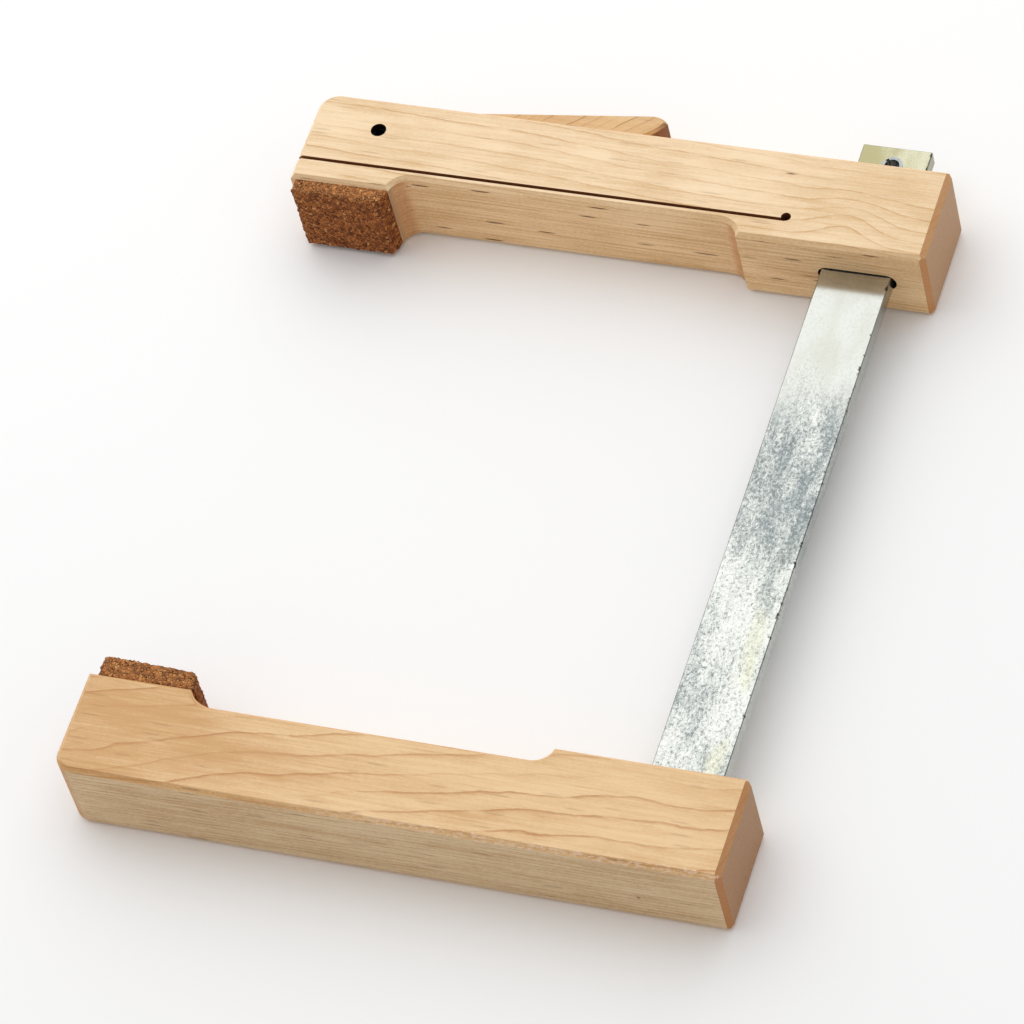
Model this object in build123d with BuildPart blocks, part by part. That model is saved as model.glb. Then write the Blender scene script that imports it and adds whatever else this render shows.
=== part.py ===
from build123d import *
import os
from math import acos, asin, cos, degrees, radians, sin, sqrt

# Wooden cam clamp, lying on one broad side.
#
# Two maple jaws stand out from a flat steel bar. The fixed jaw is pinned to the
# bar's lower end. The sliding jaw runs on the bar. A long saw kerf splits it
# into a beam and a thin sprung arm, and a cam lever in a slot at the tip pushes
# the arm, with its cork pad, towards the work.
#
# Frame, in millimetres: +X runs along the jaws from their tips to the heels
# that hold the bar, +Y runs along the bar from the fixed jaw to its free end,
# +Z is up. The origin is the bottom centre of the whole clamp's box.

os.makedirs("parts", exist_ok=True)

# ---------------------------------------------------------------- whole clamp
overall_length = 246.0        # fixed jaw's outer face to the bar's free end
jaw_spacing = 201.5           # fixed jaw's outer face to sliding jaw's inner face

# ----------------------------------------------------------------------- jaws
jaw_length = 185.0
jaw_height = 31.0             # inner face to outer face
jaw_thickness = 25.5          # broad side to broad side
tip_block = 29.3              # full-height stretch under the cork pad
heel_block = 53.8             # full-height stretch round the bar
recess_depth = 4.6            # shallow relief between the two blocks
cutter_radius = 6.0           # of the cutter that makes the relief
fixed_tip_cutter_radius = 8.0  # the fixed jaw's tip shoulder is wider
tip_round = 5.5               # outer corner of the tip
edge_bevel = 1.2              # along the broad sides
heel_bevel = 1.5              # round the heel's end face

# ------------------------------------------------------------------------ bar
bar_width = 20.0
bar_thickness = 5.0
bar_edge_round = 0.5
bar_inset = 10.5              # bar's edge to the heel's end face
bar_floor = 5.0               # wood left below the bar in the fixed jaw
mortise_width = 22.5          # in the sliding jaw
mortise_height = 6.0

# ------------------------------------------------------------------ roll pins
stop_pin_diameter = 6.0
stop_pin_from_end = 6.6
stop_pin_proud_above = 0.3    # nearly flush with the bar's upper side
stop_pin_proud_below = 4.7    # the end that stops the jaw
jaw_pin_diameter = 4.0
jaw_pin_spacing = 11.0
jaw_pin_recess = 1.5
jaw_pin_cover = 5.0           # wood left above the blind pin holes
cam_pin_diameter = 4.5
cam_pin_recess = 1.6
pin_wall = 0.9
pin_slot = 0.9
pin_slot_turn = 135.0         # degrees from +X

# ------------------------------------------------------------- sprung arm cut
kerf_width = 1.05
kerf_at_tip = 7.1             # kerf's middle above the inner face, at the tip
kerf_at_root = 7.25           # the same at the relief hole
relief_hole_diameter = 2.8
relief_hole_from_heel = 41.4
relief_hole_height = 8.25
flex_from_heel = 60.3         # where the arm bends

# ------------------------------------------------------------------ cam lever
cam_pin_from_heel = 164.8
cam_pin_height = 19.9         # above the sliding jaw's inner face
lever_thickness = 12.0
lever_slot = 13.0
lever_tilt = 7.7              # degrees proud of the jaw's outer face
lever_top = 12.6              # pin to the lever's outer edge
lever_reach = 80.6            # pin to the tip of the nose
nose_radius = 6.0             # round from the outer edge into the nose
nose_drop = 2.8               # nose tip below the outer edge
handle_depth = 9.0            # outer edge to under edge, behind the nose
handle_root_depth = 16.8      # the same where the handle meets the cam head
handle_start = 28.0           # along the lever from the pin
bow_length = 12.0             # finger curve under the nose
bow_middle_run = 4.2          # the curve's middle, back from the nose tip
bow_middle_drop = 3.9         # the same, under the nose tip
lever_bevel = 0.8
lever_bore_clearance = 0.06   # radial
cam_gap = 0.3                 # cam to arm with the lever folded
cam_turn = 100.0              # degrees of lever travel
cam_rise = 1.31               # lift, mm per radian of lever travel
slot_cutter_radius = 40.0
slot_cutter_from_pin = 27.5   # last cut's centre, along the jaw

# ------------------------------------------------------------------ cork pads
fixed_cork_thickness = 5.6
sliding_cork_thickness = 4.8
cork_end_slope = 1.6          # bar-side end leans back towards the tip
fixed_cork_overhang = 0.9     # past the tip block, over its shoulder
fixed_cork_setback = 2.4      # from the tip
sliding_cork_setback = 1.5
cork_edge_bevel = 0.6
cork_side_setback = 0.9       # from the broad sides

# -------------------------------------------------------------- derived places
tip_x = -jaw_length / 2
heel_x = jaw_length / 2
mid_z = jaw_thickness / 2
fixed_outer_y = -overall_length / 2
fixed_inner_y = fixed_outer_y + jaw_height
sliding_inner_y = fixed_outer_y + jaw_spacing
sliding_outer_y = sliding_inner_y + jaw_height
bar_end_y = overall_length / 2
bar_foot_y = fixed_outer_y + bar_floor
bar_x = heel_x - bar_inset - bar_width / 2
stop_pin_y = bar_end_y - stop_pin_from_end
jaw_pin_y = (bar_foot_y + fixed_inner_y) / 2
relief_hole_x = heel_x - relief_hole_from_heel
relief_hole_y = sliding_inner_y + relief_hole_height
flex_x = heel_x - flex_from_heel
cam_pin_x = heel_x - cam_pin_from_heel
cam_pin_y = sliding_inner_y + cam_pin_height


def kerf_y(x):
    """Middle line of the saw kerf, which closes slowly on the inner face."""
    share = (x - tip_x) / (relief_hole_x - tip_x)
    return sliding_inner_y + kerf_at_tip + share * (kerf_at_root - kerf_at_tip)


def shoulder_run(radius):
    """Length of the round shoulder that a cutter of this radius leaves."""
    return sqrt(radius**2 - (radius - recess_depth) ** 2)


def jaw_blank(outer_y, inner_y, tip_cutter_radius):
    """Jaw stick before its own cuts: two full blocks with the shallow relief between."""
    inward = 1 if inner_y > outer_y else -1
    floor_y = inner_y - inward * recess_depth
    heel_step = heel_x - heel_block
    tip_step = tip_x + tip_block
    heel_floor = heel_step - shoulder_run(cutter_radius)
    tip_floor = tip_step + shoulder_run(tip_cutter_radius)
    half_way = sin(radians(45))
    heel_arc_run = cutter_radius * half_way
    heel_arc_y = floor_y + inward * (cutter_radius - heel_arc_run)
    tip_arc_run = tip_cutter_radius * half_way
    tip_arc_y = floor_y + inward * (tip_cutter_radius - tip_arc_run)
    with BuildPart() as blank:
        with BuildSketch() as side:
            with BuildLine():
                Polyline((tip_step, inner_y), (tip_x, inner_y), (tip_x, outer_y))
                Polyline((tip_x, outer_y), (heel_x, outer_y), (heel_x, inner_y), (heel_step, inner_y))
                ThreePointArc(
                    (heel_step, inner_y), (heel_floor + heel_arc_run, heel_arc_y), (heel_floor, floor_y)
                )
                Line((heel_floor, floor_y), (tip_floor, floor_y))
                ThreePointArc(
                    (tip_floor, floor_y), (tip_floor - tip_arc_run, tip_arc_y), (tip_step, inner_y)
                )
            make_face()
            fillet(side.vertices().sort_by_distance((tip_x, outer_y))[0], radius=tip_round)
        extrude(amount=jaw_thickness)
        chamfer(blank.faces().sort_by(Axis.X)[-1].edges(), length=heel_bevel)
        broad_sides = blank.faces().filter_by(Axis.Z)
        heel_limit = heel_x - 2 * heel_bevel
        long_edges = [edge for edge in broad_sides.edges() if edge.center().X < heel_limit]
        chamfer(long_edges, length=edge_bevel)
    return blank.part


def roll_pin(diameter, length):
    """Open ring of rolled steel, standing on the origin."""
    with BuildPart() as pin:
        with BuildSketch():
            Circle(diameter / 2)
            Circle(diameter / 2 - pin_wall, mode=Mode.SUBTRACT)
            with PolarLocations(diameter / 2, 1, start_angle=pin_slot_turn):
                Rectangle(diameter, pin_slot, mode=Mode.SUBTRACT)
        extrude(amount=length)
    return pin.part


fixed_blank = jaw_blank(fixed_outer_y, fixed_inner_y, fixed_tip_cutter_radius)
sliding_blank = jaw_blank(sliding_outer_y, sliding_inner_y, cutter_radius)

# ------------------------------------------------------------------ fixed jaw
jaw_pin_offsets = (-jaw_pin_spacing / 2, jaw_pin_spacing / 2)
jaw_pin_top = jaw_thickness - jaw_pin_cover

with BuildPart() as fixed_jaw:
    add(fixed_blank)
    with BuildSketch(Plane.XY.offset(mid_z - bar_thickness / 2)):
        with Locations((bar_x, (bar_foot_y + fixed_inner_y) / 2)):
            Rectangle(bar_width, fixed_inner_y - bar_foot_y)
    extrude(amount=bar_thickness, mode=Mode.SUBTRACT)
    with BuildSketch():
        with Locations([(bar_x, jaw_pin_y + offset) for offset in jaw_pin_offsets]):
            Circle(jaw_pin_diameter / 2)
    extrude(amount=jaw_pin_top, mode=Mode.SUBTRACT)
fixed_jaw.part.label = "fixed_jaw"
export_step(fixed_jaw.part, "parts/fixed_jaw.step")

# ------------------------------------------------------------------------ bar
with BuildPart() as bar:
    with BuildSketch(Plane.XY.offset(mid_z - bar_thickness / 2)):
        with Locations((bar_x, (bar_foot_y + bar_end_y) / 2)):
            Rectangle(bar_width, bar_end_y - bar_foot_y)
    extrude(amount=bar_thickness)
    fillet(bar.edges().filter_by(Axis.Y), radius=bar_edge_round)
    chamfer(bar.faces().sort_by(Axis.Y)[-1].edges(), length=bar_edge_round / 2)
    with BuildSketch():
        with Locations((bar_x, stop_pin_y)):
            Circle(stop_pin_diameter / 2)
        with Locations([(bar_x, jaw_pin_y + offset) for offset in jaw_pin_offsets]):
            Circle(jaw_pin_diameter / 2)
    extrude(amount=jaw_thickness, mode=Mode.SUBTRACT)
bar.part.label = "bar"
export_step(bar.part, "parts/bar.step")

# ------------------------------------------------------------------- stop pin
stop_pin_length = bar_thickness + stop_pin_proud_above + stop_pin_proud_below
stop_pin_foot_z = mid_z - bar_thickness / 2 - stop_pin_proud_below
stop_pin = roll_pin(stop_pin_diameter, stop_pin_length)

with BuildPart() as bar_stop_pin:
    with Locations((bar_x, stop_pin_y, stop_pin_foot_z)):
        add(stop_pin)
bar_stop_pin.part.label = "bar_stop_pin"
export_step(bar_stop_pin.part, "parts/bar_stop_pin.step")

# ------------------------------------------- pins that hold the bar's lower end
jaw_pin = roll_pin(jaw_pin_diameter, jaw_pin_top - jaw_pin_recess)

with BuildPart() as fixed_jaw_pins:
    with Locations([(bar_x, jaw_pin_y + offset, jaw_pin_recess) for offset in jaw_pin_offsets]):
        add(jaw_pin)
fixed_jaw_pins.part.label = "fixed_jaw_pins"
export_step(fixed_jaw_pins.part, "parts/fixed_jaw_pins.step")

# ----------------------------------------------------------------- cam lever
# Worked out in the folded position, from the pin outwards.
tilt = radians(lever_tilt)


def lever_point(along, across):
    """Point in lever directions: along its outer edge, and out from the pin."""
    x = cam_pin_x + along * cos(tilt) - across * sin(tilt)
    y = cam_pin_y + along * sin(tilt) + across * cos(tilt)
    return (x, y)


def cam_point(angle, radius):
    """Point at an angle about the pin, in degrees from +X."""
    x = cam_pin_x + radius * cos(radians(angle))
    y = cam_pin_y + radius * sin(radians(angle))
    return (x, y)


arm_top_at_pin = kerf_y(cam_pin_x) - kerf_width / 2
cam_radius = cam_pin_y - arm_top_at_pin - cam_gap
cam_radius_full = cam_radius + cam_rise * radians(cam_turn)
cam_start = 270.0                         # faces the arm when folded
cam_finish = cam_start - cam_turn         # faces the arm when fully turned
cam_heel = 305.0                          # where the round head meets the handle
spiral_steps = 6
spiral_angles = [cam_start - cam_turn * step / spiral_steps for step in range(spiral_steps + 1)]
crown_along = -sqrt(cam_radius_full**2 - lever_top**2)
crown_angle = 90 + lever_tilt + degrees(asin(-crown_along / cam_radius_full))
nose_turn = acos(1 - nose_drop / nose_radius)
nose_start = lever_reach - nose_radius * sin(nose_turn)
nose_middle = nose_start + nose_radius * sin(nose_turn / 2)
nose_middle_across = lever_top - nose_radius * (1 - cos(nose_turn / 2))
nose_across = lever_top - nose_drop
bow_across = lever_top - handle_depth

with BuildPart() as cam_lever:
    with BuildSketch(Plane.XY.offset(mid_z - lever_thickness / 2)):
        with BuildLine():
            spiral = Spline([
                cam_point(angle, cam_radius + cam_rise * radians(cam_start - angle))
                for angle in spiral_angles
            ])
            ThreePointArc(
                spiral @ 1,
                cam_point((cam_finish + crown_angle) / 2, cam_radius_full),
                lever_point(crown_along, lever_top),
            )
            Line(lever_point(crown_along, lever_top), lever_point(nose_start, lever_top))
            ThreePointArc(
                lever_point(nose_start, lever_top),
                lever_point(nose_middle, nose_middle_across),
                lever_point(lever_reach, nose_across),
            )
            ThreePointArc(
                lever_point(lever_reach, nose_across),
                lever_point(lever_reach - bow_middle_run, nose_across - bow_middle_drop),
                lever_point(lever_reach - bow_length, bow_across),
            )
            Line(
                lever_point(lever_reach - bow_length, bow_across),
                lever_point(handle_start, lever_top - handle_root_depth),
            )
            Line(
                lever_point(handle_start, lever_top - handle_root_depth),
                cam_point(cam_heel, cam_radius),
            )
            ThreePointArc(
                cam_point(cam_heel, cam_radius),
                cam_point((cam_heel + cam_start) / 2, cam_radius),
                spiral @ 0,
            )
        make_face()
        with Locations((cam_pin_x, cam_pin_y)):
            Circle(cam_pin_diameter / 2 + lever_bore_clearance, mode=Mode.SUBTRACT)
    extrude(amount=lever_thickness)
    side_faces = cam_lever.faces().filter_by(Axis.Z)
    handle_x = cam_pin_x + handle_start
    handle_edges = [edge for edge in side_faces.edges() if edge.center().X > handle_x]
    chamfer(handle_edges, length=lever_bevel)
cam_lever.part.label = "cam_lever"
export_step(cam_lever.part, "parts/cam_lever.step")

# -------------------------------------------------------------------- cam pin
cam_roll_pin = roll_pin(cam_pin_diameter, jaw_thickness - 2 * cam_pin_recess)

with BuildPart() as cam_pin:
    with Locations((cam_pin_x, cam_pin_y, cam_pin_recess)):
        add(cam_roll_pin)
cam_pin.part.label = "cam_pin"
export_step(cam_pin.part, "parts/cam_pin.step")

# ---------------------------------------------------------------- sliding jaw
clear_of_cut = 3.0            # how far a cut runs past the wood
slot_floor_y = kerf_y(cam_pin_x)
slot_cutter_x = cam_pin_x + slot_cutter_from_pin

# the arm's share of the stick: everything below the kerf, from the tip to the bend
with BuildSketch() as arm_side:
    with BuildLine():
        Polyline(
            (tip_x - clear_of_cut, sliding_inner_y - clear_of_cut),
            (flex_x, sliding_inner_y - clear_of_cut),
            (flex_x, kerf_y(flex_x) - kerf_width / 2),
            (tip_x - clear_of_cut, kerf_y(tip_x - clear_of_cut) - kerf_width / 2),
            close=True,
        )
    make_face()

with BuildPart() as sliding_jaw:
    add(sliding_blank)
    # arm, cut away as a piece of its own
    extrude(arm_side.sketch, amount=jaw_thickness, mode=Mode.SUBTRACT)
    # saw kerf and its relief hole
    with BuildSketch():
        with BuildLine():
            Polyline(
                (tip_x - clear_of_cut, kerf_y(tip_x - clear_of_cut) - kerf_width / 2),
                (relief_hole_x, kerf_y(relief_hole_x) - kerf_width / 2),
                (relief_hole_x, kerf_y(relief_hole_x) + kerf_width / 2),
                (tip_x - clear_of_cut, kerf_y(tip_x - clear_of_cut) + kerf_width / 2),
                close=True,
            )
        make_face()
        with Locations((relief_hole_x, relief_hole_y)):
            Circle(relief_hole_diameter / 2)
    extrude(amount=jaw_thickness, mode=Mode.SUBTRACT)
    # lever slot, open at the tip and the outer face, down to the kerf
    with BuildSketch(Plane.XY.offset(mid_z - lever_slot / 2)):
        with Locations((slot_cutter_x, slot_floor_y + slot_cutter_radius)):
            Circle(slot_cutter_radius)
        with Locations((tip_x - clear_of_cut, slot_floor_y)):
            Rectangle(
                slot_cutter_x - tip_x + clear_of_cut, jaw_height, align=(Align.MIN, Align.MIN)
            )
    extrude(amount=lever_slot, mode=Mode.SUBTRACT)
    # mortise for the bar, its ends rounded by the cutter
    with BuildSketch(Plane.XZ.offset(-sliding_inner_y)):
        with Locations((bar_x, mid_z)):
            SlotOverall(mortise_width, mortise_height)
    extrude(amount=-jaw_height, mode=Mode.SUBTRACT)
    # seat of the cam pin
    with BuildSketch():
        with Locations((cam_pin_x, cam_pin_y)):
            Circle(cam_pin_diameter / 2)
    extrude(amount=jaw_thickness, mode=Mode.SUBTRACT)
sliding_jaw.part.label = "sliding_jaw"
export_step(sliding_jaw.part, "parts/sliding_jaw.step")

# ----------------------------------------------------------------- sprung arm
with BuildPart() as sprung_arm:
    add(sliding_blank)
    extrude(arm_side.sketch, amount=jaw_thickness, mode=Mode.INTERSECT)
sprung_arm.part.label = "sprung_arm"
export_step(sprung_arm.part, "parts/sprung_arm.step")


# ------------------------------------------------------------------ cork pads
def cork_pad(setback, overhang, glued_y, thickness):
    """Cork slab on a tip block. A negative thickness puts it on the block's -Y side."""
    start = tip_x + setback
    end = tip_x + tip_block + overhang
    face_y = glued_y + thickness
    with BuildPart() as pad:
        with BuildSketch(Plane.XY.offset(cork_side_setback)):
            with BuildLine():
                Polyline(
                    (start, glued_y),
                    (end, glued_y),
                    (end - cork_end_slope, face_y),
                    (start, face_y),
                    close=True,
                )
            make_face()
        extrude(amount=jaw_thickness - 2 * cork_side_setback)
        clamping_face = pad.faces().sort_by(Axis.Y)[-1 if thickness > 0 else 0]
        chamfer(clamping_face.edges(), length=cork_edge_bevel)
    return pad.part


fixed_pad = cork_pad(fixed_cork_setback, fixed_cork_overhang, fixed_inner_y, fixed_cork_thickness)
sliding_pad = cork_pad(sliding_cork_setback, 0, sliding_inner_y, -sliding_cork_thickness)

with BuildPart() as fixed_cork_pad:
    add(fixed_pad)
fixed_cork_pad.part.label = "fixed_cork_pad"
export_step(fixed_cork_pad.part, "parts/fixed_cork_pad.step")

with BuildPart() as sliding_cork_pad:
    add(sliding_pad)
sliding_cork_pad.part.label = "sliding_cork_pad"
export_step(sliding_cork_pad.part, "parts/sliding_cork_pad.step")
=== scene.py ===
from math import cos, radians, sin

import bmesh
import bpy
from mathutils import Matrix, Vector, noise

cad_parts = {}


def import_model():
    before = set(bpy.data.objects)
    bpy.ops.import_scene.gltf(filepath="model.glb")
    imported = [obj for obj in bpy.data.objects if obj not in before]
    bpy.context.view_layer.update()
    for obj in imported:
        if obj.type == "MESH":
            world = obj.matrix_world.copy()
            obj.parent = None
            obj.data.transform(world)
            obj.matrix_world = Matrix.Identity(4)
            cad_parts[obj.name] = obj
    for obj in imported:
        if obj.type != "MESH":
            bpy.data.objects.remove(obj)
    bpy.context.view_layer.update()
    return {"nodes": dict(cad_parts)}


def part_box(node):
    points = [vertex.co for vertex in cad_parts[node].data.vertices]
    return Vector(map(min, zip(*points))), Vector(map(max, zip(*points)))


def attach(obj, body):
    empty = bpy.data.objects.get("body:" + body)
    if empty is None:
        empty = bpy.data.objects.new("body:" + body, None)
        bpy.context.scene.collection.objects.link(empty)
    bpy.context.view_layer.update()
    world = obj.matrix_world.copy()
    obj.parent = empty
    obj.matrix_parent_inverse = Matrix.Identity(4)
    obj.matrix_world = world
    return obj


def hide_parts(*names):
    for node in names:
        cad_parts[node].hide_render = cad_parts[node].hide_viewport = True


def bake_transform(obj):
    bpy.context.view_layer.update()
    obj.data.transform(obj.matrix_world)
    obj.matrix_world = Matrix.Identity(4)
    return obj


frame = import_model()

# A wooden cam clamp lying on one broad side: maple jaws on a zinc-plated bar,
# cork pads, and a cam lever that bends a sprung arm.
#
# The materials measure in millimetres throughout. Elsewhere, names ending in
# _mm or _MM are millimetres and other lengths are metres. _per_mm is how many
# noise bumps fit in a millimetre, along X, Y and Z where there are three.
# +X runs along the jaws to their heels, +Y along the bar to its free end, and
# +Z is up.

MM = 0.001

# ------------------------------------------------------------------- places
FIXED_LOW, FIXED_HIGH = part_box("fixed_jaw")
SLIDING_LOW, SLIDING_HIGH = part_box("sliding_jaw")
ARM_LOW, ARM_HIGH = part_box("sprung_arm")
BAR_LOW, BAR_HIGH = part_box("bar")
PIN_LOW, PIN_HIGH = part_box("cam_pin")
_, LEVER_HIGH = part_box("cam_lever")

HEEL_MM = SLIDING_HIGH.x / MM
TOP_MM = SLIDING_HIGH.z / MM
INNER_MM = SLIDING_LOW.y / MM           # inner face of the sliding jaw's heel block
RELIEF_DEPTH_MM = 4.6
ARM_INNER_MM = INNER_MM + RELIEF_DEPTH_MM       # inner face of the arm's thin part
OUTER_MM = FIXED_LOW.y / MM             # outer face of the fixed jaw
BAR_MIDDLE_MM = (BAR_HIGH + BAR_LOW) / 2 / MM
BAR_HALF_MM = (BAR_HIGH - BAR_LOW) / 2 / MM
PIN_MIDDLE_MM = (PIN_HIGH + PIN_LOW) / 2 / MM
PIN_RADIUS_MM = (PIN_HIGH.x - PIN_LOW.x) / 2 / MM


# ------------------------------------------------------------ shader building
def srgb(red, green, blue):
    """Linear RGBA of a colour given as 0 to 255 screen values."""
    linear = []
    for value in (red, green, blue):
        share = value / 255
        linear.append(share / 12.92 if share <= 0.04045 else ((share + 0.055) / 1.055) ** 2.4)
    return (*linear, 1.0)


class Shader:
    """A node material. Each method adds a node and returns the socket it gives.

    place, x, y and z are the place on the object at rest, in millimetres.
    facing_x, facing_y and facing_z are how far the surface faces along each
    axis, either way, 0 to 1.
    """

    def __init__(self, name):
        self.material = bpy.data.materials.new(name)
        self.material.use_nodes = True
        self.tree = self.material.node_tree
        self.tree.nodes.clear()
        output = self.tree.nodes.new("ShaderNodeOutputMaterial")
        self.surface = self.tree.nodes.new("ShaderNodeBsdfPrincipled")
        self.tree.links.new(self.surface.outputs["BSDF"], output.inputs["Surface"])
        coordinates = self.tree.nodes.new("ShaderNodeTexCoord")
        self.place = self.scaled(coordinates.outputs["Object"], (1000, 1000, 1000))
        self.x, self.y, self.z = self.split(self.place)
        normal = self.split(coordinates.outputs["Normal"])
        self.facing_x, self.facing_y, self.facing_z = [self.size(part) for part in normal]

    def put(self, socket, value):
        """Links a socket, or sets a plain value."""
        if isinstance(value, bpy.types.NodeSocket):
            self.tree.links.new(value, socket)
        else:
            socket.default_value = value

    def math(self, operation, *values):
        node = self.tree.nodes.new("ShaderNodeMath")
        node.operation = operation
        for socket, value in zip(node.inputs, values):
            self.put(socket, value)
        return node.outputs[0]

    def plus(self, first, second):
        return self.math("ADD", first, second)

    def minus(self, first, second):
        return self.math("SUBTRACT", first, second)

    def times(self, first, *others):
        for other in others:
            first = self.math("MULTIPLY", first, other)
        return first

    def plus_share(self, base, share, value):
        """base + share * value"""
        return self.math("MULTIPLY_ADD", value, share, base)

    def plus_swing(self, base, share, value):
        """base, moved both ways by a 0 to 1 value: base + share * (value - 0.5)"""
        return self.plus_share(base, share, self.minus(value, 0.5))

    def opposite(self, value):
        return self.minus(1.0, value)

    def size(self, value):
        return self.math("ABSOLUTE", value)

    def square(self, value):
        return self.math("POWER", value, 2.0)

    def far_from(self, first, first_middle, second, second_middle):
        """Distance from a line, given by its place along two axes."""
        first_square = self.square(self.minus(first, first_middle))
        second_square = self.square(self.minus(second, second_middle))
        return self.math("SQRT", self.plus(first_square, second_square))

    def split(self, vector):
        node = self.tree.nodes.new("ShaderNodeSeparateXYZ")
        self.put(node.inputs[0], vector)
        return node.outputs[0], node.outputs[1], node.outputs[2]

    def join(self, x, y, z):
        node = self.tree.nodes.new("ShaderNodeCombineXYZ")
        for socket, value in zip(node.inputs, (x, y, z)):
            self.put(socket, value)
        return node.outputs[0]

    def vector_math(self, operation, first, second):
        node = self.tree.nodes.new("ShaderNodeVectorMath")
        node.operation = operation
        self.put(node.inputs[0], first)
        self.put(node.inputs[1], second)
        return node

    def scaled(self, vector, factors):
        return self.vector_math("MULTIPLY", vector, factors).outputs["Vector"]

    def noise(self, vector, detail=2.0, roughness=0.5, distortion=0.0):
        """Noise of about one bump per unit of the vector, 0 to 1."""
        node = self.tree.nodes.new("ShaderNodeTexNoise")
        self.put(node.inputs["Vector"], vector)
        node.inputs["Scale"].default_value = 1.0
        node.inputs["Detail"].default_value = detail
        node.inputs["Roughness"].default_value = roughness
        node.inputs["Distortion"].default_value = distortion
        return node.outputs["Fac"]

    def speckle(self, bumps_per_mm, **settings):
        """Noise fixed to the object, 0 to 1."""
        return self.noise(self.scaled(self.place, bumps_per_mm), **settings)

    def cells(self, vector, feature="F1"):
        """Voronoi cells, one per unit of the vector: (distance, random colour)."""
        node = self.tree.nodes.new("ShaderNodeTexVoronoi")
        node.feature = feature
        self.put(node.inputs["Vector"], vector)
        node.inputs["Scale"].default_value = 1.0
        node.inputs["Randomness"].default_value = 1.0
        return node.outputs["Distance"], node.outputs.get("Color")

    def above(self, value, none, full):
        """0 where the value is under none, rising smoothly to 1 at full."""
        node = self.tree.nodes.new("ShaderNodeMapRange")
        node.interpolation_type = "SMOOTHSTEP"
        self.put(node.inputs["Value"], value)
        node.inputs["From Min"].default_value = none
        node.inputs["From Max"].default_value = full
        return node.outputs["Result"]

    def below(self, value, full, none):
        """1 where the value is under full, falling smoothly to 0 at none."""
        return self.opposite(self.above(value, full, none))

    def mix(self, share, first, second, blend="MIX"):
        node = self.tree.nodes.new("ShaderNodeMix")
        node.data_type = "RGBA"
        node.blend_type = blend
        factor, colour, other = node.inputs[0], node.inputs[6], node.inputs[7]
        self.put(factor, share)
        self.put(colour, first)
        self.put(other, second)
        return node.outputs[2]

    def tint(self, share, colour, tint):
        """The colour, multiplied by a tint where share is 1."""
        return self.mix(share, colour, self.mix(1.0, colour, tint, "MULTIPLY"))

    def ramp(self, value, stops):
        """Colour ramp through (position, colour) stops."""
        node = self.tree.nodes.new("ShaderNodeValToRGB")
        self.put(node.inputs[0], value)
        elements = node.color_ramp.elements
        while len(elements) < len(stops):
            elements.new(0.5)
        for element, (position, colour) in zip(elements, stops):
            element.position = position
            element.color = colour
        return node.outputs["Color"]

    def bump(self, height, depth_mm, strength):
        node = self.tree.nodes.new("ShaderNodeBump")
        node.inputs["Strength"].default_value = strength
        node.inputs["Distance"].default_value = depth_mm * MM
        self.put(node.inputs["Height"], height)
        self.put(self.surface.inputs["Normal"], node.outputs["Normal"])

    def finish(self, colour, roughness, metallic=0.0, specular=0.5):
        self.put(self.surface.inputs["Base Color"], colour)
        self.put(self.surface.inputs["Roughness"], roughness)
        self.surface.inputs["Metallic"].default_value = metallic
        self.surface.inputs["Specular IOR Level"].default_value = specular
        return self.material


# ------------------------------------------------------- maple: rings and fibres
RING_DEPTH_MM = 1.4         # ring spacing through the stick's thickness
RING_JAG_MM = 0.7
FLECK_BROWN = srgb(122, 74, 42)
# painted shade: a warm, darker tint for the long bevels, chosen by the way they face
BEVEL_PAINTED_SHADE_TINT = srgb(244, 228, 208)
SHOULDER_GRAIN_AND_SHADE_TINT = srgb(226, 194, 164)


def ring_count(shader, slope, bend, ring_mm, drift_mm, ripple_mm, swells, seed):
    """Growth rings, counted across the stick: whole numbers are ring borders.

    The rings lie nearly flat in the stick, so they show as wide wavy lines on
    the broad sides and as fine streaks on the narrow ones. The lines climb
    along +X by slope at mid-length, and bend is how fast the slope changes, per
    millimetre. Each swell is a place where they bulge: x, y, length, width, height.
    """
    def wobble(along_per_mm, across_per_mm, wobble_seed, detail):
        along = shader.times(shader.x, along_per_mm)
        across = shader.times(shader.y, across_per_mm)
        return shader.noise(shader.join(along, across, wobble_seed), detail=detail)

    ripple_seed = seed + 7.3
    wave = shader.plus_share(shader.y, -slope, shader.x)
    wave = shader.plus_share(wave, -bend / 2, shader.times(shader.x, shader.x))
    wave = shader.plus_swing(wave, -drift_mm, wobble(0.016, 0.032, seed, detail=1.0))
    wave = shader.plus_swing(wave, -ripple_mm, wobble(0.050, 0.11, ripple_seed, detail=1.5))
    wave = shader.plus_swing(wave, -RING_JAG_MM, wobble(0.32, 0.6, seed, detail=2.0))
    for swell_x, swell_y, length, width, height in swells:
        along = shader.math("DIVIDE", shader.minus(shader.x, swell_x), length)
        across = shader.math("DIVIDE", shader.minus(shader.y, swell_y), width)
        reach = shader.plus(shader.times(along, along), shader.times(across, across))
        bulge = shader.math("EXPONENT", shader.times(reach, -1.0))
        wave = shader.plus_share(wave, -height, bulge)
    across_count = shader.math("DIVIDE", wave, ring_mm)
    depth_count = shader.math("DIVIDE", shader.z, RING_DEPTH_MM)
    return shader.plus(shader.plus(across_count, depth_count), seed)


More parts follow.
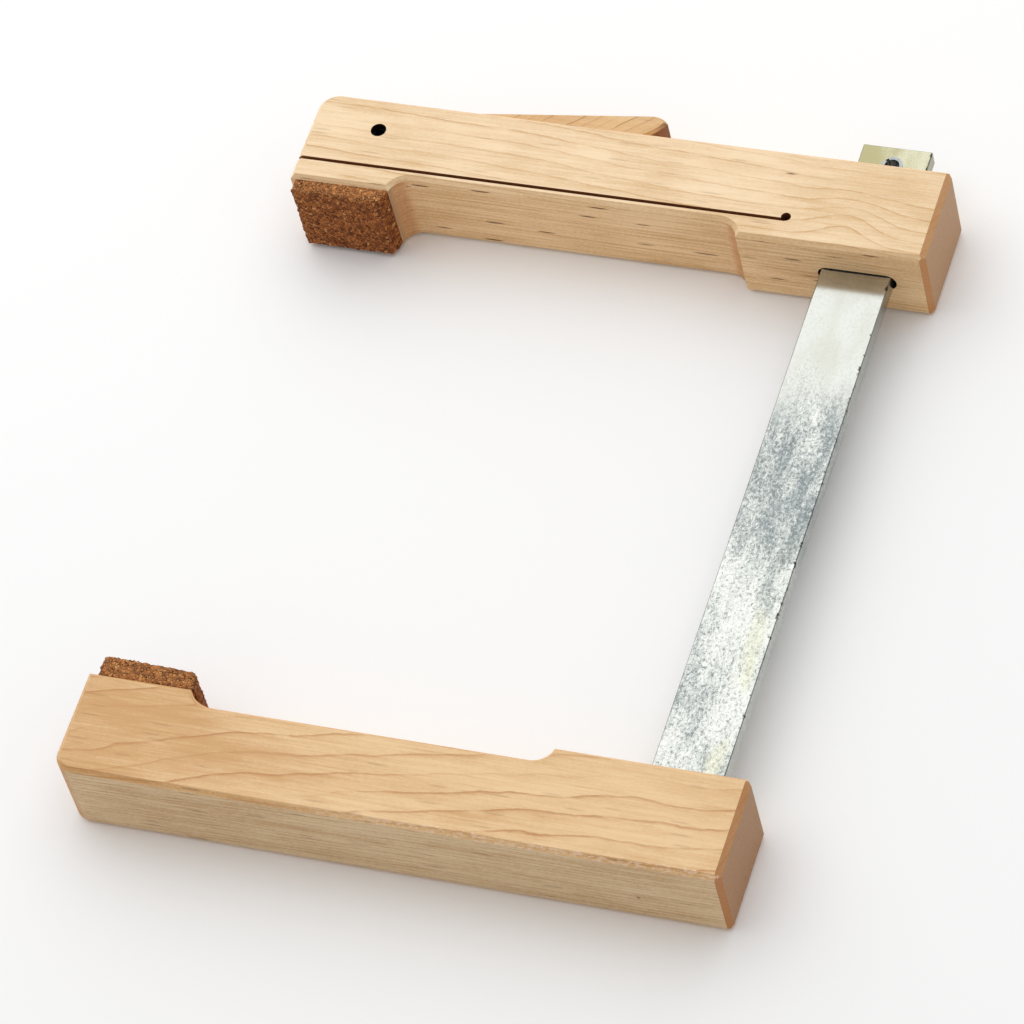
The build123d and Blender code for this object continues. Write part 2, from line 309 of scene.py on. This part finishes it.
def ring_figure(shader, rings):
    """The thin dark line and the darker late wood that end each ring.

    Both are stronger on some rings than on others, and fade out in places.
    """
    count = ring_count(shader, **rings)
    phase = shader.math("FRACT", count)
    ring_number = shader.math("FLOOR", count)
    own_noise = shader.join(ring_number, shader.times(shader.x, 0.010), rings["seed"])
    own_strength = shader.above(shader.noise(own_noise, detail=1.0), 0.30, 0.62)
    whole = shader.above(shader.speckle((0.10, 0.35, 0.35), detail=3.0), 0.22, 0.55)
    strength = shader.times(own_strength, whole)
    rise = shader.above(phase, 0.84, 0.965)
    fall = shader.below(phase, 0.97, 1.0)
    line = shader.times(rise, fall, strength)
    late_wood = shader.times(shader.math("POWER", phase, 3.0), strength)
    return line, late_wood


def short_flecks(shader, side_share):
    """Short dark flecks: a few on the broad sides, side_share more on the narrow ones."""
    broad_side_share = 0.22
    distance, colour = shader.cells(shader.scaled(shader.place, (0.060, 0.62, 0.62)))
    pick, _, _ = shader.split(colour)
    flecks = shader.times(shader.below(distance, 0.12, 0.24), shader.above(pick, 0.40, 0.60))
    return shader.times(flecks, shader.plus_share(broad_side_share, side_share, shader.facing_y))


def wood_tone(shader, fibre, grain, late_wood, tip_tone):
    """0 for the pale wood, 1 for the deep one. tip_tone is how much deeper the tip's top is."""
    cloud = shader.speckle((0.028, 0.10, 0.10), detail=3.0, roughness=0.6)
    streak = shader.speckle((0.022, 0.05, 1.15), detail=3.0, roughness=0.6)
    side_streak = shader.times(shader.minus(streak, 0.5), shader.facing_y)
    side_grain = shader.times(shader.minus(grain, 0.5), shader.facing_y)
    tip_half = shader.below(shader.x, -80.0, 0.0)
    top_of_tip = shader.times(tip_half, shader.facing_z)
    tone = shader.plus_swing(0.38, 1.1, cloud)
    tone = shader.plus_swing(tone, 0.9, fibre)
    tone = shader.plus_swing(tone, 0.65, grain)
    tone = shader.plus_share(tone, 0.28, late_wood)
    tone = shader.plus_share(tone, 1.4, side_streak)
    tone = shader.plus_share(tone, 0.8, side_grain)
    tone = shader.plus_share(tone, tip_tone, top_of_tip)
    return shader.above(tone, 0.0, 1.0)


def paint_light_on_sides(shader, wood, side_painted_light_tint):
    """Painted light: tints the long bevels and the narrow sides by the way they face, for the colour
    and shade that the light gives them.
    """
    side_starts, side_full = 0.8, 0.95
    long_bevel = shader.times(shader.above(shader.facing_y, 0.35, 0.6),
                              shader.below(shader.facing_y, side_starts, side_full), 0.6)
    wood = shader.tint(long_bevel, wood, BEVEL_PAINTED_SHADE_TINT)
    return shader.tint(shader.above(shader.facing_y, side_starts, side_full), wood, side_painted_light_tint)


def add_end_grain_and_shade(shader, wood, late_wood, pale, line, end_grain_and_shade, bevel_grain_and_shade, end_from_mm):
    """End grain drinks more oil: in the sawn shoulders, the ends and most of all the heel's bevels.
    Partly painted shade too: the shoulders are also darkened for the shade where they turn in, and
    the lever's dark end colours stand for the shade on its undercut free end as well as its end
    grain.

    The bevels count from end_from_mm on, along X.
    """
    # partly painted shade: the shoulders are tinted for their end grain and for the shade where they
    # turn in
    shoulder = shader.times(shader.above(shader.facing_x, 0.10, 0.60),
                            shader.below(shader.facing_z, 0.3, 0.6), 0.8)
    wood = shader.tint(shoulder, wood, SHOULDER_GRAIN_AND_SHADE_TINT)
    fade_mm = 3.0
    at_heel = shader.above(shader.x, end_from_mm, end_from_mm + fade_mm)
    bevel = shader.times(shader.above(shader.facing_x, 0.45, 0.66), at_heel)
    wood = shader.mix(bevel, wood, shader.mix(0.75, wood, bevel_grain_and_shade))
    pore = shader.speckle((1.0, 2.2, 2.2), detail=4.0, roughness=0.8)
    end_wood = shader.mix(shader.above(pore, 0.30, 0.62), shader.mix(0.18, end_grain_and_shade, pale),
                          shader.mix(0.35, end_grain_and_shade, line))
    end_wood = shader.mix(shader.times(late_wood, 0.55), end_wood, line)
    end = shader.above(shader.facing_x, 0.80, 0.97)
    return shader.mix(end, wood, shader.mix(0.85, wood, end_wood))


# ------------------------------------------------------ maple: wear, marks, cuts and painted shade in holes
TORN_PALE = srgb(240, 208, 178)
PIT_BROWN = srgb(120, 80, 48)
MARK_BROWN = srgb(104, 62, 36)
KERF_BROWN = srgb(150, 92, 52)
HOLE_BROWN = srgb(110, 66, 36)
# black painted shade, for the shade deep in the pin's bore and in the mortise
BORE_PAINTED_SHADE_BLACK = srgb(26, 18, 13)
EDGE_SOFT_MM = 0.1          # over which a dark cut's colour fades out
BORE_WALL_MM = 0.1          # how far outside its radius a bore's wall still counts


def wear_edge(shader, wood, edge_y, edge_z):
    """Pale chips and small pits along a long edge, where its skin is torn."""
    from_edge = shader.far_from(shader.y, edge_y, shader.z, edge_z)
    torn = shader.speckle((0.55, 1.6, 1.6), detail=3.0, roughness=0.7)
    reach = shader.plus_share(-0.35, 3.4, torn)
    skin = shader.below(shader.minus(from_edge, reach), -0.25, 0.15)
    toward_heel = shader.above(shader.x, -45.0, 20.0)
    chips = shader.times(skin, shader.above(torn, 0.50, 0.58), toward_heel, 0.75)
    wood = shader.mix(chips, wood, TORN_PALE)
    pits = shader.times(skin, shader.below(torn, 0.36, 0.42), 0.5)
    return shader.mix(pits, wood, PIT_BROWN)


def add_marks(shader, wood, grain, marks):
    """Single dark marks with ragged ends: x, y, z, half length along X, half width."""
    for x, y, z, half_length, half_width in marks:
        stretched = shader.scaled(shader.place, (1 / half_length, 1 / half_width, 1 / half_width))
        middle = (x / half_length, y / half_width, z / half_width)
        from_middle = shader.vector_math("DISTANCE", stretched, middle).outputs["Value"]
        ragged = shader.plus_swing(from_middle, 1.2, grain)
        wood = shader.mix(shader.times(shader.below(ragged, 0.5, 1.0), 0.75), wood, MARK_BROWN)
    return wood


def kerf_cut(shader):
    """Dark sawn wood on the kerf's two walls."""
    half_kerf_mm = 0.525
    wall_reach_mm = 2.2
    middle_mm = ARM_HIGH.y / MM + half_kerf_mm
    from_middle = shader.size(shader.minus(shader.y, middle_mm))
    near = shader.below(from_middle, wall_reach_mm, wall_reach_mm + EDGE_SOFT_MM)
    return shader.times(near, shader.above(shader.facing_y, 0.85, 0.95)), KERF_BROWN


def bore_cut(centre_x, centre_y, radius, colour):
    """Dark wall of a drilled hole along Z."""
    reach = radius + BORE_WALL_MM

    def cut(shader):
        from_centre = shader.far_from(shader.x, centre_x, shader.y, centre_y)
        near = shader.below(from_centre, reach, reach + EDGE_SOFT_MM)
        return shader.times(near, shader.below(shader.facing_z, 0.2, 0.5)), colour
    return cut


def mortise_cut(shader):
    """Painted shade: black walls of the slot that the bar runs in, for the shade inside it."""
    play_x_mm, play_z_mm = 1.4, 0.6

    def near(place, middle, half):
        from_middle = shader.size(shader.minus(place, middle))
        return shader.below(from_middle, half, half + EDGE_SOFT_MM)

    near_x = near(shader.x, BAR_MIDDLE_MM.x, BAR_HALF_MM.x + play_x_mm)
    near_z = near(shader.z, BAR_MIDDLE_MM.z, BAR_HALF_MM.z + play_z_mm)
    return shader.times(near_x, near_z, shader.below(shader.facing_y, 0.2, 0.5)), BORE_PAINTED_SHADE_BLACK


# ------------------------------------------------------------- maple: the woods
def maple(name, pale, deep, line, line_share, side_painted_light_tint, end_grain_and_shade, bevel_grain_and_shade, end_from_mm,
          fleck_share, rings, tip_tone=0.0, marks=(), dark_cuts=(), worn_edge=None):
    """Maple stick sawn along X, with its rings, fibres, flecks and end grain.

    dark_cuts are functions that mark where a saw or a drill has left dark wood, and paint black shade
    in the pin's bore and the mortise.
    worn_edge is the y and z, in millimetres, of a long edge with a torn skin.
    """
    shader = Shader(name)
    ring_line, late_wood = ring_figure(shader, rings)
    fibre = shader.speckle((0.045, 1.5, 1.5), detail=4.0, roughness=0.65)
    grain = shader.speckle((0.9, 3.2, 3.2), detail=3.0, roughness=0.75)
    flecks = short_flecks(shader, fleck_share)

    wood = shader.mix(wood_tone(shader, fibre, grain, late_wood, tip_tone), pale, deep)
    wood = shader.mix(shader.times(ring_line, line_share), wood, line)
    wood = shader.mix(flecks, wood, FLECK_BROWN)
    wood = paint_light_on_sides(shader, wood, side_painted_light_tint)
    wood = add_end_grain_and_shade(shader, wood, late_wood, pale, line, end_grain_and_shade, bevel_grain_and_shade, end_from_mm)
    if worn_edge:
        wood = wear_edge(shader, wood, *worn_edge)
    wood = add_marks(shader, wood, grain, marks)
    for dark_cut in dark_cuts:
        mask, colour = dark_cut(shader)
        wood = shader.mix(mask, wood, colour)

    height = shader.plus_share(fibre, 0.6, grain)
    height = shader.minus(height, shader.times(ring_line, 0.5))
    height = shader.minus(height, flecks)
    shader.bump(height, depth_mm=0.05, strength=0.55)
    roughness = shader.plus_share(0.42, 0.2, fibre)
    return shader.finish(wood, roughness, specular=0.35)


RELIEF_HOLE_FROM_HEEL_MM = 41.4
RELIEF_HOLE_HEIGHT_MM = 8.25
RELIEF_HOLE_RADIUS_MM = 1.4
JAW_END_GRAIN_MM = 6.0          # length of the heel that may show bevel grain
# painted shade: the lever's free end, whose dark colours are end grain and the shade of its undercut
# end
LEVER_END_GRAIN_AND_SHADE_MM = 8.0

# the pin's bore gets black painted shade on its wall
pin_bore = bore_cut(PIN_MIDDLE_MM.x, PIN_MIDDLE_MM.y, PIN_RADIUS_MM, BORE_PAINTED_SHADE_BLACK)
relief_bore = bore_cut(HEEL_MM - RELIEF_HOLE_FROM_HEEL_MM, INNER_MM + RELIEF_HOLE_HEIGHT_MM,
                       RELIEF_HOLE_RADIUS_MM, HOLE_BROWN)

pale_maple = maple(
    "pale maple",
    pale=srgb(248, 222, 184), deep=srgb(216, 177, 126), line=srgb(194, 142, 86), line_share=0.55,
    # the side tint is painted light: the colour the narrow sides take under the light
    side_painted_light_tint=srgb(255, 243, 228), end_grain_and_shade=srgb(166, 130, 98), bevel_grain_and_shade=srgb(190, 128, 72),
    end_from_mm=HEEL_MM - JAW_END_GRAIN_MM, fleck_share=0.78,
    rings=dict(slope=-0.06, bend=0.0, ring_mm=4.2, drift_mm=4.0, ripple_mm=1.6,
               swells=[(HEEL_MM - 24, INNER_MM + 9, 10, 10, 5.5)], seed=2.6),
    marks=[
        (HEEL_MM - 38.3, INNER_MM, TOP_MM - 8.0, 3.2, 0.45),
        (HEEL_MM - 31.0, INNER_MM, TOP_MM - 14.5, 1.6, 0.4),
        (HEEL_MM - 44.1, INNER_MM + 23.1, TOP_MM, 2.0, 0.35),
        (HEEL_MM - 128.0, ARM_INNER_MM, TOP_MM - 15.5, 3.6, 0.5),
        (HEEL_MM - 66.0, ARM_INNER_MM, TOP_MM - 17.0, 4.5, 0.45),
    ],
    dark_cuts=(kerf_cut, relief_bore, pin_bore, mortise_cut),
)
warm_maple = maple(
    "warm maple",
    pale=srgb(240, 206, 158), deep=srgb(208, 161, 107), line=srgb(176, 112, 60), line_share=0.56,
    # the side tint is painted light: the colour the narrow sides take under the light
    side_painted_light_tint=srgb(240, 246, 255), end_grain_and_shade=srgb(154, 121, 88), bevel_grain_and_shade=srgb(176, 114, 62),
    end_from_mm=HEEL_MM - JAW_END_GRAIN_MM, fleck_share=0.18, tip_tone=0.32,
    rings=dict(slope=0.19, bend=-0.0014, ring_mm=6.2, drift_mm=10.0, ripple_mm=4.2,
               swells=[], seed=5.1),
    marks=[
        (HEEL_MM, OUTER_MM + 13.7, 4.8, 0.5, 0.5),
        (HEEL_MM - 24.2, OUTER_MM, 9.4, 0.7, 0.5),
    ],
    worn_edge=(OUTER_MM, FIXED_HIGH.z / MM),
)
lever_maple = maple(
    "lever maple",
    pale=srgb(228, 192, 142), deep=srgb(202, 156, 104), line=srgb(140, 90, 50), line_share=0.75,
    # the lever's end colours are end grain darkened by painted shade for its shadowed, undercut end;
    # its side tint is painted light
    side_painted_light_tint=srgb(210, 190, 170), end_grain_and_shade=srgb(104, 62, 36), bevel_grain_and_shade=srgb(120, 72, 42),
    end_from_mm=LEVER_HIGH.x / MM - LEVER_END_GRAIN_AND_SHADE_MM, fleck_share=0.5,
    rings=dict(slope=0.9, bend=0.0, ring_mm=3.8, drift_mm=5.0, ripple_mm=1.5,
               swells=[], seed=9.4),
)


# ----------------------------------------------------------------------- cork
CORK_BROWNS = [
    (0.0, srgb(124, 66, 34)),
    (0.25, srgb(164, 96, 50)),
    (0.5, srgb(190, 114, 60)),
    (0.75, srgb(208, 130, 70)),
    (0.95, srgb(220, 146, 84)),
    (1.0, srgb(244, 188, 120)),
]
CORK_SHADES = [
    (0.30, srgb(96, 80, 74)),
    (0.48, srgb(215, 205, 200)),
    (0.62, srgb(255, 255, 255)),
]
# painted light for the up-facing faces
CORK_TOP_PAINTED_LIGHT = srgb(255, 196, 128)
CORK_SEAM = srgb(44, 20, 10)


def cork_material():
    """Granules pressed together: each its own brown, dark seams, a few bright ones. Up-facing faces
    are made lighter: painted light.
    """
    shader = Shader("cork")
    granules_per_mm = (1.25, 1.25, 1.25)
    bend = shader.speckle((0.9, 0.9, 0.9), detail=2.0)
    straight = shader.scaled(shader.place, granules_per_mm)
    granules = shader.vector_math("ADD", straight, shader.join(bend, bend, bend)).outputs["Vector"]
    _, granule_colour = shader.cells(granules)
    from_seam, _ = shader.cells(granules, feature="DISTANCE_TO_EDGE")
    pick, seam_pick, _ = shader.split(granule_colour)
    fine = shader.speckle((3.2, 3.2, 3.2), detail=4.0, roughness=0.75)

    brown = shader.ramp(pick, CORK_BROWNS)
    brown = shader.mix(0.85, brown, shader.ramp(fine, CORK_SHADES), "MULTIPLY")
    # painted light: up-facing faces made a lighter orange
    brown = shader.mix(shader.times(shader.facing_z, 0.16), brown, CORK_TOP_PAINTED_LIGHT)
    dark_seam = shader.times(shader.below(from_seam, 0.02, 0.13), shader.above(seam_pick, 0.25, 0.8))
    brown = shader.mix(dark_seam, brown, CORK_SEAM)
    height = shader.plus_share(shader.above(from_seam, 0.0, 0.16), 0.6, fine)
    shader.bump(height, depth_mm=0.25, strength=0.8)
    return shader.finish(brown, roughness=0.85, specular=0.2)


# ---------------------------------------------------------------------- steel
SMOOTH_ZINC = srgb(197, 199, 194)
PALE_ZINC = srgb(199, 201, 195)
DARK_ZINC = srgb(128, 138, 141)
MOTTLE_ZINC = srgb(168, 172, 158)
SPECK_ZINC = srgb(96, 104, 108)
BRIGHT_ZINC = srgb(214, 217, 213)
CLOUD_ZINC = srgb(180, 181, 168)
YELLOW_ZINC = srgb(204, 202, 168)
PALE_OLIVE = srgb(190, 188, 158)
DEEP_OLIVE = srgb(152, 144, 92)
BURR_GREY = srgb(88, 90, 84)
NICK_BLACK = srgb(30, 32, 33)
# painted reflection: grey for the upper part of the side faces
SIDE_PAINTED_REFLECTION_GREY = srgb(110, 116, 108)


def grainy_zinc(shader, fine, cloud, speckle):
    """Smooth plate near the free end and grainy grey plate below: (colour, grainy, dark grain)."""
    grain_start_mm = 38.0
    wander = shader.plus_swing(shader.y, 50.0, cloud)
    grainy = shader.below(wander, grain_start_mm - 14.0, grain_start_mm + 8.0)

    # darkest at dull_middle_mm, with long streaks
    dull_middle_mm = 16.0
    from_dull = shader.size(shader.minus(shader.y, dull_middle_mm))
    streak = shader.speckle((0.20, 0.055, 0.20), detail=4.0, roughness=0.6, distortion=0.8)
    shadow = shader.plus_share(shader.times(cloud, 0.80), 0.24, shader.below(from_dull, 6.0, 50.0))
    shadow = shader.plus_swing(shadow, 1.05, streak)
    grey = shader.mix(shader.above(shadow, 0.25, 0.95), PALE_ZINC, DARK_ZINC)
    plate = shader.mix(shader.times(grainy, 0.9), SMOOTH_ZINC, grey)

    specks = shader.plus_share(speckle, 0.35, fine)
    specks = shader.plus_swing(specks, 0.20, shadow)
    plate = shader.mix(shader.times(shader.above(specks, 0.62, 0.84), 0.35), plate, MOTTLE_ZINC)
    upward = shader.plus_share(0.2, 0.8, shader.facing_z)
    dark_grain = shader.times(shader.above(specks, 0.67, 0.80), grainy, upward)
    plate = shader.mix(shader.times(dark_grain, 0.75), plate, SPECK_ZINC)
    bright_grain = shader.times(shader.below(specks, 0.54, 0.64), grainy, 0.7)
    return shader.mix(bright_grain, plate, BRIGHT_ZINC), grainy, dark_grain


def stain_zinc(shader, plate, fine, grainy):
    """Faint clouds, a yellow band low on the heel side, and an olive free end."""
    stain = shader.speckle((0.15, 0.05, 0.15), detail=2.0)
    clouds = shader.times(shader.above(shader.plus_share(stain, 0.3, fine), 0.55, 0.95),
                          shader.opposite(grainy), 0.6)
    plate = shader.mix(clouds, plate, CLOUD_ZINC)
    from_band = shader.size(shader.minus(shader.x, BAR_MIDDLE_MM.x + 6.0))
    lower_half = shader.below(shader.y, -60.0, 0.0)
    yellow = shader.times(shader.below(from_band, 0.5, 4.0), shader.above(stain, 0.42, 0.62),
                          lower_half, 0.4)
    plate = shader.mix(yellow, plate, YELLOW_ZINC)
    olive = shader.mix(shader.above(shader.plus_share(stain, 0.5, fine), 0.55, 0.9),
                       PALE_OLIVE, DEEP_OLIVE)
    free_end = shader.above(shader.y, 98.0, 110.0)
    return shader.mix(shader.times(free_end, 0.8), plate, olive)


def zinc_edges(shader, plate, fine):
    """Dull burr along the broad faces' edges, black nicks along one: (colour, burr, nicks)."""
    from_middle = shader.minus(shader.x, BAR_MIDDLE_MM.x)
    from_side = shader.minus(BAR_HALF_MM.x, shader.size(from_middle))
    from_end = shader.minus(BAR_HIGH.y / MM, shader.y)
    from_top = shader.minus(BAR_HIGH.z / MM, shader.z)
    from_edge = shader.math("MINIMUM", from_side, from_end)
    rough_edge = shader.plus_share(shader.times(from_edge, 1.6), 0.5, fine)
    burr = shader.times(shader.below(rough_edge, 0.45, 0.85), shader.above(shader.facing_z, 0.3, 0.6))
    plate = shader.mix(shader.times(burr, 0.75), plate, BURR_GREY)
    worn = shader.speckle((0.5, 0.50, 0.5), detail=3.0, roughness=0.7)
    nicks = shader.times(shader.below(from_side, 0.35, 0.95), shader.above(worn, 0.57, 0.62),
                         shader.above(from_middle, -2.0, 0.0), shader.below(from_top, 0.6, 1.4))
    return shader.mix(shader.times(nicks, 0.9), plate, NICK_BLACK), burr, nicks


def zinc_material():
    """Zinc plate: smooth and silvery near the free end, grainy grey lower down."""
    shader = Shader("zinc plate")
    fine = shader.speckle((3.6, 2.8, 3.6), detail=2.0)
    cloud = shader.speckle((0.11, 0.042, 0.11), detail=4.0, roughness=0.6)
    speckle = shader.speckle((1.25, 0.85, 1.25), detail=4.0, roughness=0.75, distortion=0.6)
    plate, grainy, dark_grain = grainy_zinc(shader, fine, cloud, speckle)
    plate = stain_zinc(shader, plate, fine, grainy)
    plate, burr, nicks = zinc_edges(shader, plate, fine)
    # painted reflection: the side faces are greyed on their upper part, where the mirror-like side
    # reflects darker
    upper_part = shader.above(shader.y, 20.0, 70.0)
    side = shader.times(shader.above(shader.facing_x, 0.6, 0.9), upper_part, 0.4)
    plate = shader.mix(side, plate, SIDE_PAINTED_REFLECTION_GREY)

    roughness = shader.plus_share(0.17, 0.20, dark_grain)
    roughness = shader.plus_share(roughness, 0.15, burr)
    shader.bump(shader.minus(shader.times(speckle, grainy), nicks), depth_mm=0.06, strength=0.35)
    return shader.finish(plate, roughness, metallic=0.92)


def pin_material(name, colour, dark):
    """Rolled spring steel with faint drawing marks."""
    shader = Shader(name)
    marks = shader.speckle((3.0, 3.0, 0.4), detail=3.0)
    shader.bump(marks, depth_mm=0.03, strength=0.4)
    roughness = shader.plus_share(0.25, 0.25, marks)
    return shader.finish(shader.mix(marks, colour, dark), roughness, metallic=1.0)


cork = cork_material()
zinc = zinc_material()
bright_pin = pin_material("bright roll pin", srgb(190, 194, 196), srgb(110, 114, 118))
black_pin = pin_material("black roll pin", srgb(40, 40, 42), srgb(14, 14, 16))

NODE_MATERIALS = {
    "fixed_jaw": warm_maple,
    "sliding_jaw": pale_maple,
    "cam_lever": lever_maple,
    "bar": zinc,
    "bar_stop_pin": bright_pin,
    "fixed_jaw_pins": bright_pin,
    "cam_pin": black_pin,
}
for node_name, node_material in NODE_MATERIALS.items():
    node_mesh = frame["nodes"][node_name].data
    node_mesh.materials.clear()
    node_mesh.materials.append(node_material)


# --------------------------------------------------------------------- pieces
def new_piece(name, mesh, material):
    """Object of a mesh, with its material, in the scene."""
    piece = bpy.data.objects.new(name, mesh)
    bpy.context.scene.collection.objects.link(piece)
    mesh.materials.clear()
    mesh.materials.append(material)
    return piece


def bending_arm():
    """The sprung arm as its own piece, sliced across along its whole length."""
    slices = 40
    mesh = frame["nodes"]["sprung_arm"].data.copy()
    form = bmesh.new()
    form.from_mesh(mesh)
    for step in range(1, slices):
        x = ARM_LOW.x + (ARM_HIGH.x - ARM_LOW.x) * step / slices
        everything = form.verts[:] + form.edges[:] + form.faces[:]
        bmesh.ops.bisect_plane(form, geom=everything, plane_co=(x, 0, 0), plane_no=(1, 0, 0))
    form.to_mesh(mesh)
    form.free()
    arm = new_piece("bending_arm", mesh, pale_maple)
    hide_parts("sprung_arm")
    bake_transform(arm)


def even_grid(piece, spacing_mm):
    """Gives the piece a mesh of even small faces."""
    remesh = piece.modifiers.new("even grid", "REMESH")
    remesh.mode = "VOXEL"
    remesh.voxel_size = spacing_mm * MM
    graph = bpy.context.evaluated_depsgraph_get()
    even = bpy.data.meshes.new_from_object(piece.evaluated_get(graph))
    piece.modifiers.clear()
    piece.data = even
    even.materials.clear()
    even.materials.append(cork)
    return even


def cork_depth_mm(place_mm):
    """How far a point of the cork stands out: up at granules, down at seams and crumbled spots."""
    granules_per_mm = 0.8
    granule_height_mm = 0.7
    seam_level = 0.22
    spots_per_mm = 0.45
    spot_depth_mm = 0.45
    spot_level = 0.15
    distances, _ = noise.voronoi(place_mm * granules_per_mm)
    granule = min(distances[1] - distances[0], 0.5)
    crumble = noise.noise(place_mm * spots_per_mm)
    crumbled = max(crumble - spot_level, 0)
    return granule_height_mm * (granule - seam_level) - spot_depth_mm * crumbled


def cork_slab(name, node, body, glued_high, tip_swell_mm=0.0):
    """Cork pad with granular, crumbled faces, flat only where it is glued on.

    glued_high says that the glued face is the one at the higher Y.
    tip_swell_mm is how much thicker than the CAD solid it is at the tip.
    """
    rough_rise = 6      # fully rough from a sixth of its thickness up
    low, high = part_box(node)
    pad = new_piece(name, frame["nodes"][node].data.copy(), cork)
    even = even_grid(pad, spacing_mm=0.4)
    glued_y = high.y if glued_high else low.y
    outward = -1 if glued_high else 1
    normals = [vertex.normal.copy() for vertex in even.vertices]
    for vertex, normal in zip(even.vertices, normals):
        height_share = abs(vertex.co.y - glued_y) / (high.y - low.y)
        tip_share = (high.x - vertex.co.x) / (high.x - low.x)
        free_share = min(height_share * rough_rise, 1.0)
        vertex.co += normal * cork_depth_mm(vertex.co / MM) * free_share * MM
        vertex.co.y += outward * tip_swell_mm * height_share * tip_share * MM
    for polygon in even.polygons:
        polygon.use_smooth = True
    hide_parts(node)
    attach(pad, body)


bending_arm()
cork_slab("fixed_cork", "fixed_cork_pad", "frame", glued_high=False, tip_swell_mm=0.9)
cork_slab("sliding_cork", "sliding_cork_pad", "arm", glued_high=True)


# ---------------------------------------------------------------------- stage
def floor():
    """Plain white table, a hair under the clamp so that no faces coincide."""
    half = 3.0
    top = -0.2 * MM
    mesh = bpy.data.meshes.new("floor")
    corners = [(-half, -half, top), (half, -half, top), (half, half, top), (-half, half, top)]
    mesh.from_pydata(corners, [], [(0, 1, 2, 3)])
    white = Shader("floor white").finish((0.97, 0.97, 0.97, 1), roughness=0.9, specular=0.0)
    stage = new_piece("floor", mesh, white)


def world(brightness):
    """Even white light from all around."""
    backdrop = bpy.data.worlds.new("studio")
    backdrop.use_nodes = True
    background = backdrop.node_tree.nodes["Background"]
    background.inputs["Color"].default_value = (1, 1, 1, 1)
    background.inputs["Strength"].default_value = brightness
    bpy.context.scene.world = backdrop


def area_light(name, towards, distance, size, power):
    """Square soft light that faces the clamp from a direction."""
    data = bpy.data.lights.new(name, "AREA")
    data.shape = "SQUARE"
    data.size = size
    data.energy = power
    light = bpy.data.objects.new(name, data)
    bpy.context.scene.collection.objects.link(light)
    light.location = Vector(towards).normalized() * distance
    light.rotation_euler = Vector(towards).to_track_quat("Z", "Y").to_euler()


def camera(azimuth, elevation, roll, distance, aim, lens):
    """Camera that looks at aim. An azimuth of 0 looks along +Y.

    azimuth, elevation and roll are degrees, lens is its focal length in millimetres.
    """
    turn = radians(azimuth)
    lift = radians(elevation)
    tip = radians(roll)
    forward = Vector((-sin(turn) * cos(lift), cos(turn) * cos(lift), -sin(lift)))
    level = Vector((cos(turn), sin(turn), 0))
    upright = level.cross(forward)
    right = level * cos(tip) - upright * sin(tip)
    up = upright * cos(tip) + level * sin(tip)
    data = bpy.data.cameras.new("camera")
    data.lens = lens
    data.sensor_width = 36.0
    view = bpy.data.objects.new("camera", data)
    bpy.context.scene.collection.objects.link(view)
    view.matrix_world = Matrix((
        (right.x, up.x, -forward.x, 0),
        (right.y, up.y, -forward.y, 0),
        (right.z, up.z, -forward.z, 0),
        (0, 0, 0, 1),
    ))
    view.location = Vector(aim) - forward * distance
    bpy.context.scene.camera = view


floor()
world(brightness=0.50)
area_light("key", towards=(-0.31, 0.52, 0.79), distance=1.6, size=3.2, power=36.5)
camera(azimuth=30.91, elevation=52.49, roll=16.92, distance=1.595,
       aim=(0.0003, -0.0138, 0.01275), lens=208.3)
bpy.context.scene.view_settings.view_transform = "Standard"
bpy.context.scene.view_settings.look = "None"
